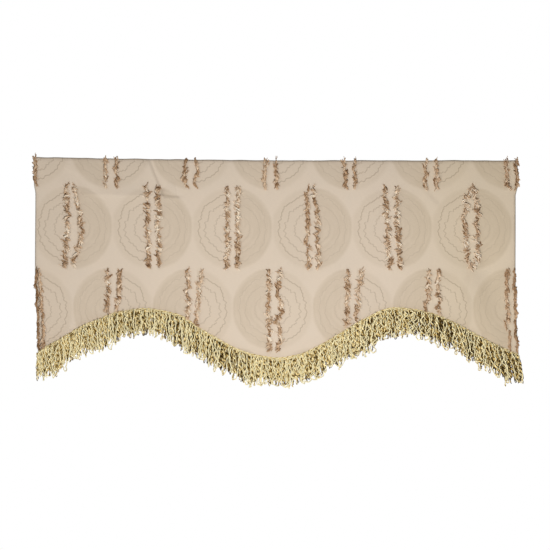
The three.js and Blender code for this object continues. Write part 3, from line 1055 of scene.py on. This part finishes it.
# Along the hem: where the yarn is paler or deeper in tone, and how curly it is
fringeYarns = tableOf(
    "x paler curly",
    (-0.635, 0.82, 1.0),
    (-0.480, 0.80, 0.9),
    (-0.390, 0.30, 1.0),
    (-0.180, 0.14, 1.0),
    (-0.030, 0.36, 1.2),
    (0.120, 0.42, 1.8),
    (0.300, 0.14, 1.8),
    (0.460, -0.24, 1.5),
    (0.635, 0.00, 1.3),
)


# Points along the hem, below its edge by a drop and forward of the cloth's front
def hemPoints(below, forward, inset):
    half = panel["width"] / 2 - inset
    count = round(2 * half / fringe["pointStep"])
    across = [-half + 2 * half * i / count for i in range(count + 1)]
    front = panel["thickness"] / 2 + fringe["headGap"] + forward
    drops = [hemDrop(x) - eased(fringeHang, "x", "up", x) + below for x in across]
    return across, [onCloth(x, drop, front) for x, drop in zip(across, drops)]


# Shakes the points of curves by a noise of their own
def crinkle(tree, curves, length, amount, own):
    add = functools.partial(addNode, tree)
    place = add("GeometryNodeInputPosition")
    ownShift = add("ShaderNodeVectorMath", {0: crinkles["own"], "Scale": own}, operation="SCALE")
    drawn = add("ShaderNodeVectorMath", {0: place, 1: crinkles["drawn"]}, operation="MULTIPLY")
    paced = add("ShaderNodeVectorMath", {0: drawn, 1: length}, operation="DIVIDE")
    shifted = add("ShaderNodeVectorMath", {0: paced, 1: ownShift}, operation="ADD")
    waves = add("ShaderNodeTexNoise", {"Vector": shifted, "Scale": 1.0, "Detail": 2.0, "Roughness": 0.5})
    swing = add("ShaderNodeVectorMath", {0: waves.outputs["Color"], 1: (0.5, 0.5, 0.5)},
                operation="SUBTRACT")
    flat = add("ShaderNodeVectorMath", {0: swing, 1: crinkles["most"]}, operation="MULTIPLY")
    offset = add("ShaderNodeVectorMath", {0: flat, "Scale": amount}, operation="SCALE")
    return add("GeometryNodeSetPosition", {"Geometry": curves, "Offset": offset})


# Uncut loops of crinkled yarn that hang from the head
def loopTree(sizes):
    tree, given = newTree("fringeLoops", sizes)
    add = functools.partial(addNode, tree)
    paler, lean, longer, own, curly, rootDepth = [
        add("GeometryNodeInputNamedAttribute", {"Name": label}, data_type="FLOAT").outputs[0]
        for label in ("paler", "lean", "longer", "yarnTone", "curly", "rootDepth")]
    line = add("GeometryNodeMeshToCurve", {"Mesh": given["Geometry"]})
    roots = add("GeometryNodeResampleCurve", {"Curve": line, "Count": given["Loop count"]}, mode="COUNT")
    spots = add("GeometryNodeCurveToPoints", {"Curve": roots}, mode="EVALUATED")
    # Roots scattered a little, and each loop's own numbers
    scatter = add("FunctionNodeRandomValue", {0: (-1.0, -1.0, -1.0), 1: (1.0, 1.0, 1.0), 8: given["Seed"]},
                  data_type="FLOAT_VECTOR")
    moved = add("ShaderNodeVectorMath", {0: scatter, "Scale": given["Root spread"]}, operation="SCALE")
    rooted = add("GeometryNodeSetPosition", {"Geometry": spots, "Offset": moved})
    strandTone = add("FunctionNodeRandomValue",
                     {2: given["Tone low"], 3: given["Tone high"], 8: given["Seed"]}).outputs[1]
    hereTone = add("ShaderNodeMath", {0: strandTone, 1: paler}, operation="ADD")
    place = add("GeometryNodeInputPosition")
    depth = add("ShaderNodeSeparateXYZ", {0: place}).outputs["Y"]
    for label, value in {"yarnTone": hereTone, "rootDepth": depth}.items():
        rooted = add("GeometryNodeStoreNamedAttribute", {"Geometry": rooted, "Name": label, "Value": value},
                     data_type="FLOAT", domain="POINT")
    # One loop: down, round its end and up again, its two legs wound round each other
    straight = add("GeometryNodeCurvePrimitiveLine", {"Start": (0, 0, 0), "End": (0, 0, -1)})
    dense = add("GeometryNodeResampleCurve", {"Curve": straight, "Count": loop["densePoints"]}, mode="COUNT")
    share = add("GeometryNodeSplineParameter").outputs["Factor"]
    centred = add("ShaderNodeMath", {0: share, 1: 2.0, 2: -1.0}, operation="MULTIPLY_ADD")
    fromEnd = add("ShaderNodeMath", {0: centred}, operation="ABSOLUTE")
    raised = add("ShaderNodeMath", {0: fromEnd, 1: loop["endPower"]}, operation="POWER")
    hang = add("ShaderNodeMath", {0: raised, 1: 1.0}, operation="SUBTRACT")
    down = add("ShaderNodeMath", {0: hang, 1: given["Loop length"]}, operation="MULTIPLY")
    halfTurn = add("ShaderNodeMath", {0: centred, 1: math.pi / 2}, operation="MULTIPLY")
    sway = add("ShaderNodeMath", {0: halfTurn}, operation="SINE")
    halfWidth = add("ShaderNodeMath", {0: given["Loop width"], 1: 0.5}, operation="MULTIPLY")
    aside = add("ShaderNodeMath", {0: sway, 1: halfWidth}, operation="MULTIPLY")
    wound = add("ShaderNodeMath", {0: hang, 1: given["Turns"]}, operation="MULTIPLY")
    windAngle = add("ShaderNodeMath", {0: wound, 1: 2 * math.pi}, operation="MULTIPLY")
    windAcross = add("ShaderNodeMath", {0: windAngle}, operation="COSINE")
    windDeep = add("ShaderNodeMath", {0: windAngle}, operation="SINE")
    across = add("ShaderNodeMath", {0: aside, 1: windAcross}, operation="MULTIPLY")
    deep = add("ShaderNodeMath", {0: aside, 1: windDeep}, operation="MULTIPLY")
    bowed = add("ShaderNodeCombineXYZ", {"X": across, "Y": deep, "Z": down})
    shaped = add("GeometryNodeSetPosition", {"Geometry": dense, "Position": bowed})
    even = add("GeometryNodeResampleCurve", {"Curve": shaped, "Count": given["Points"]}, mode="COUNT")
    # Set on its root, turned about the vertical, leaning and of its own length
    mostTurn = Vector(loop["turnStray"])
    stray = add("FunctionNodeRandomValue", {0: -mostTurn, 1: mostTurn, 8: given["Seed"]},
                data_type="FLOAT_VECTOR")
    leanLot = add("FunctionNodeRandomValue", {2: -1.0, 3: 1.0, 8: seeds["loopLean"]}).outputs[1]
    ownLean = add("ShaderNodeMath", {0: leanLot, 1: given["Lean stray"]}, operation="MULTIPLY")
    turnedBy = add("ShaderNodeMath", {0: ownLean, 1: lean}, operation="SUBTRACT")
    leaned = add("ShaderNodeCombineXYZ", {"Y": turnedBy})
    turn = add("FunctionNodeRotateRotation", {"Rotation": stray, "Rotate By": leaned},
               rotation_space="GLOBAL")
    wide = add("FunctionNodeRandomValue", {2: loop["narrowest"], 3: loop["widest"], 8: given["Seed"]})
    lengthLot = add("FunctionNodeRandomValue", {2: -1.0, 3: 1.0, 8: seeds["loopLength"]}).outputs[1]
    ownLength = add("ShaderNodeMath", {0: lengthLot, 1: given["Length spread"], 2: 1.0},
                    operation="MULTIPLY_ADD")
    # Neighbours hang in clumps, some longer and some shorter
    clumpPlace = add("ShaderNodeVectorMath", {0: place, 1: given["Clump"]}, operation="DIVIDE")
    clumps = add("ShaderNodeTexNoise", {"Vector": clumpPlace, "Scale": 1.0, "Detail": 1.0})
    clumped = add("ShaderNodeMapRange", {0: clumps, **noiseSpan, 3: -1.0, 4: 1.0})
    clumpLength = add("ShaderNodeMath", {0: clumped, 1: given["Clump spread"], 2: ownLength},
                      operation="MULTIPLY_ADD")
    long = add("ShaderNodeMath", {0: clumpLength, 1: longer}, operation="ADD")
    # Half of the loops wind the other way
    handLot = add("FunctionNodeRandomValue", {8: seeds["loopHand"]}).outputs[1]
    hand = add("ShaderNodeMath", {0: handLot, 1: 0.5}, operation="SUBTRACT")
    handed = add("ShaderNodeMath", {0: hand}, operation="SIGN")
    wideHanded = add("ShaderNodeMath", {0: wide.outputs[1], 1: handed}, operation="MULTIPLY")
    size = add("ShaderNodeCombineXYZ", {"X": wideHanded, "Y": loop["deep"], "Z": long})
    hung = add("GeometryNodeInstanceOnPoints",
               {"Points": rooted, "Instance": even, "Rotation": turn, "Scale": size})
    single = add("GeometryNodeRealizeInstances", {"Geometry": hung})
    # Crinkle, each loop its own, fading out towards its root
    nearRoot = add("ShaderNodeMath", {0: fromEnd, 1: loop["fadePower"]}, operation="POWER")
    fade = add("ShaderNodeMath", {0: 1.0, 1: nearRoot}, operation="SUBTRACT")
    most = add("ShaderNodeMath", {0: curly, 1: given["Crinkle"]}, operation="MULTIPLY")
    amount = add("ShaderNodeMath", {0: fade, 1: most}, operation="MULTIPLY")
    leg = add("ShaderNodeMath", {0: centred, 1: loop["legApart"], 2: own}, operation="MULTIPLY_ADD")
    crinkled = crinkle(tree, single, given["Crinkle length"], amount, leg)
    # Thick and thin along each yarn, thick parts paler
    lumpPaced = add("ShaderNodeVectorMath", {0: place, "Scale": 1 / loop["lumpLength"]}, operation="SCALE")
    lumpOwn = add("ShaderNodeVectorMath", {0: loop["lumpOwn"], "Scale": leg}, operation="SCALE")
    lumpPlace = add("ShaderNodeVectorMath", {0: lumpPaced, 1: lumpOwn}, operation="ADD")
    lumps = add("ShaderNodeTexNoise", {"Vector": lumpPlace, "Scale": 1.0, "Detail": 0.0})
    lump = add("ShaderNodeMapRange", {0: lumps, 1: loop["lumpFrom"], 2: loop["lumpTo"], 3: -1.0, 4: 1.0})
    thickness = add("ShaderNodeMath", {0: lump, 1: given["Lumps"], 2: 1.0}, operation="MULTIPLY_ADD")
    lumpy = add("GeometryNodeSetCurveRadius", {"Curve": crinkled, "Radius": thickness})
    # Painted shade: yarn lying deeper in the fringe is painted darker, and so is a loop's end
    forward = add("ShaderNodeMath", {0: rootDepth, 1: depth}, operation="SUBTRACT")
    depthShaded = add("ShaderNodeMath", {0: forward, 1: given["Painted depth shade"], 2: own}, operation="MULTIPLY_ADD")
    lumpToned = add("ShaderNodeMath", {0: lump, 1: given["Lump tone"], 2: depthShaded}, operation="MULTIPLY_ADD")
    atEnd = add("ShaderNodeMapRange",
                {0: fromEnd, 1: 0.0, 2: loop["endReach"], 3: given["End shade"], 4: 0.0})
    ended = add("ShaderNodeMath", {0: lumpToned, 1: atEnd}, operation="SUBTRACT")
    shaded = add("GeometryNodeStoreNamedAttribute", {"Geometry": lumpy, "Name": "yarnTone", "Value": ended},
                 data_type="FLOAT", domain="POINT")
    finishYarn(tree, given, shaded, loop["sides"])
    return tree


# Cords of the same yarn that run along the head and bind the loops
def cordTree():
    tree, given = newTree("headCords", headCords)
    add = functools.partial(addNode, tree)
    lines = add("GeometryNodeMeshToCurve", {"Mesh": given["Geometry"]})
    place = add("GeometryNodeInputPosition")
    paced = add("ShaderNodeVectorMath", {0: place, 1: given["Crinkle length"]}, operation="DIVIDE")
    blots = add("ShaderNodeTexNoise", {"Vector": paced, "Scale": 1.0, "Detail": 1.0})
    around = add("ShaderNodeMath", {0: blots, 1: 0.5}, operation="SUBTRACT")
    tone = add("ShaderNodeMath", {0: around, 1: given["Tone stray"], 2: given["Tone"]},
               operation="MULTIPLY_ADD")
    toned = add("GeometryNodeStoreNamedAttribute", {"Geometry": lines, "Name": "yarnTone", "Value": tone},
                data_type="FLOAT", domain="POINT")
    crinkled = crinkle(tree, toned, given["Crinkle length"], given["Crinkle"], 1.0)
    finishYarn(tree, given, crinkled, fringe["headSides"])
    return tree


print("building the cloth")
cloth = makeCloth()

print("growing the eyelash stripes")
eyelashYarn = yarnMaterial("Clipped eyelash yarn", eyelashLook)
lashTree = eyelashTree()
rowLines = [stripeLines(i) for i in range(len(discRows))]
tufts = []
for i, (lines, numbers) in enumerate(rowLines):
    base = lineMesh("stripeLines", lines, numbers)
    tufts.append(grow(f"eyelash_stripes_{i + 1}", base, lashTree, eyelash, eyelashYarn))
allLines = [line for lines, numbers in rowLines for line in lines]
allNumbers = {label: [value for lines, numbers in rowLines for value in numbers[label]]
              for label in rowLines[0][1]}
tufts.append(grow("eyelash_nap", lineMesh("stripeLines", allLines, allNumbers), lashTree, nap, eyelashYarn))

print("growing the fringe")
fringeYarn = yarnMaterial("Rayon chainette yarn", fringeLook)
headLines = [hemPoints(row["below"], row["forward"], fringe["headInset"])[1] for row in headRows]
loops = [grow("fringe_head", lineMesh("headLines", headLines, {}), cordTree(), headCords, fringeYarn)]
for i, name in enumerate(layers):
    sizes = {label: row[i] for label, row in layerSizes.items()}
    across, roots = hemPoints(fringe["rootDrop"], layerRoots["forward"][i], layerRoots["inset"][i])
    numbers = {}
    for table, columns in ((fringeHang, ("lean", "up", "low")), (fringeYarns, ("paler", "curly"))):
        for column in columns:
            numbers[column] = [eased(table, "x", column, x) for x in across]
    numbers["longer"] = [(up + low) / sizes["Loop length"] for up, low in zip(numbers["up"], numbers["low"])]
    base = lineMesh("hemLine", [roots], numbers)
    loops.append(grow(name, base, loopTree(sizes), sizes, fringeYarn))

for piece in [cloth, *tufts, *loops]:
    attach(piece, "root")
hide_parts("valance_panel")
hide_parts(*fringeNodes)

# Studio: a white surround, soft lights in front and behind, and a pale lit floor well below
studio = {
    "aim": (-0.0013, 0.0, -0.303),
    "distance": 5.0,
    "frameWidth": 1.4553,  # what the square picture takes in at the valance
    "sensor": 36.0,
    "surround": 0.17,
    "floorDrop": -1.5,
    "floorRadius": 2.4,
    "floorSides": 96,
    "floorColour": "#eeeeec",
    "floorRoughness": 0.9,
}
softLights = tableOf(
    "name at size power to",
    ("frontLight", (0.18, -1.83, -0.75), 0.3, 23.8, studio["aim"]),
    ("keyLight", (-1.8, -1.55, 0.72), 0.4, 8.7, studio["aim"]),
    ("backLight", (0.70, 1.90, 0.30), 0.8, 16.0, studio["aim"]),
    ("floorLight", (0.0, 0.0, -1.1), 4.4, 24.0, (0.0, 0.0, studio["floorDrop"])),
)


def aimAt(thing, target):
    thing.rotation_euler = (Vector(target) - thing.location).to_track_quat("-Z", "Y").to_euler()


def makeStudio():
    scene = bpy.context.scene
    camera = newObject("photoCamera", bpy.data.cameras.new("photoCamera"))
    camera.data.sensor_width = studio["sensor"]
    camera.data.lens = studio["sensor"] * studio["distance"] / studio["frameWidth"]
    camera.location = Vector(studio["aim"]) + Vector((0, -studio["distance"], 0))
    aimAt(camera, studio["aim"])
    scene.camera = camera
    for light in softLights:
        lamp = bpy.data.lights.new(light["name"], "AREA")
        lamp.size = light["size"]
        lamp.energy = light["power"]
        holder = newObject(light["name"], lamp)
        holder.location = light["at"]
        aimAt(holder, light["to"])
    world = bpy.data.worlds.new("whiteSurround")
    world.use_nodes = True
    tree = world.node_tree
    tree.nodes.clear()
    path = addNode(tree, "ShaderNodeLightPath")
    dim = addNode(tree, "ShaderNodeBackground", {"Color": (1, 1, 1, 1), "Strength": studio["surround"]})
    white = addNode(tree, "ShaderNodeBackground", {"Color": (1, 1, 1, 1), "Strength": 1.0})
    mixed = addNode(tree, "ShaderNodeMixShader", {0: path.outputs["Is Camera Ray"], 1: dim, 2: white})
    addNode(tree, "ShaderNodeOutputWorld", {"Surface": mixed})
    scene.world = world
    scene.view_settings.view_transform = "Standard"
    scene.view_settings.look = "None"
    bpy.ops.mesh.primitive_circle_add(vertices=studio["floorSides"], radius=studio["floorRadius"],
                                      fill_type="NGON", location=(0, 0, studio["floorDrop"]))
    floor = bpy.context.object
    floor.name = "studioFloor"
    paint, tree, shader = newMaterial("Matt white paint")
    wire(tree, shader, {"Base Color": linear(studio["floorColour"]), "Roughness": studio["floorRoughness"]})
    floor.data.materials.append(paint)
    floor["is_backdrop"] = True


print("lighting the studio")
makeStudio()

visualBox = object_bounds()
sizes = {"cad": [list(corner) for corner in cadBox], "visual": [list(corner) for corner in visualBox]}
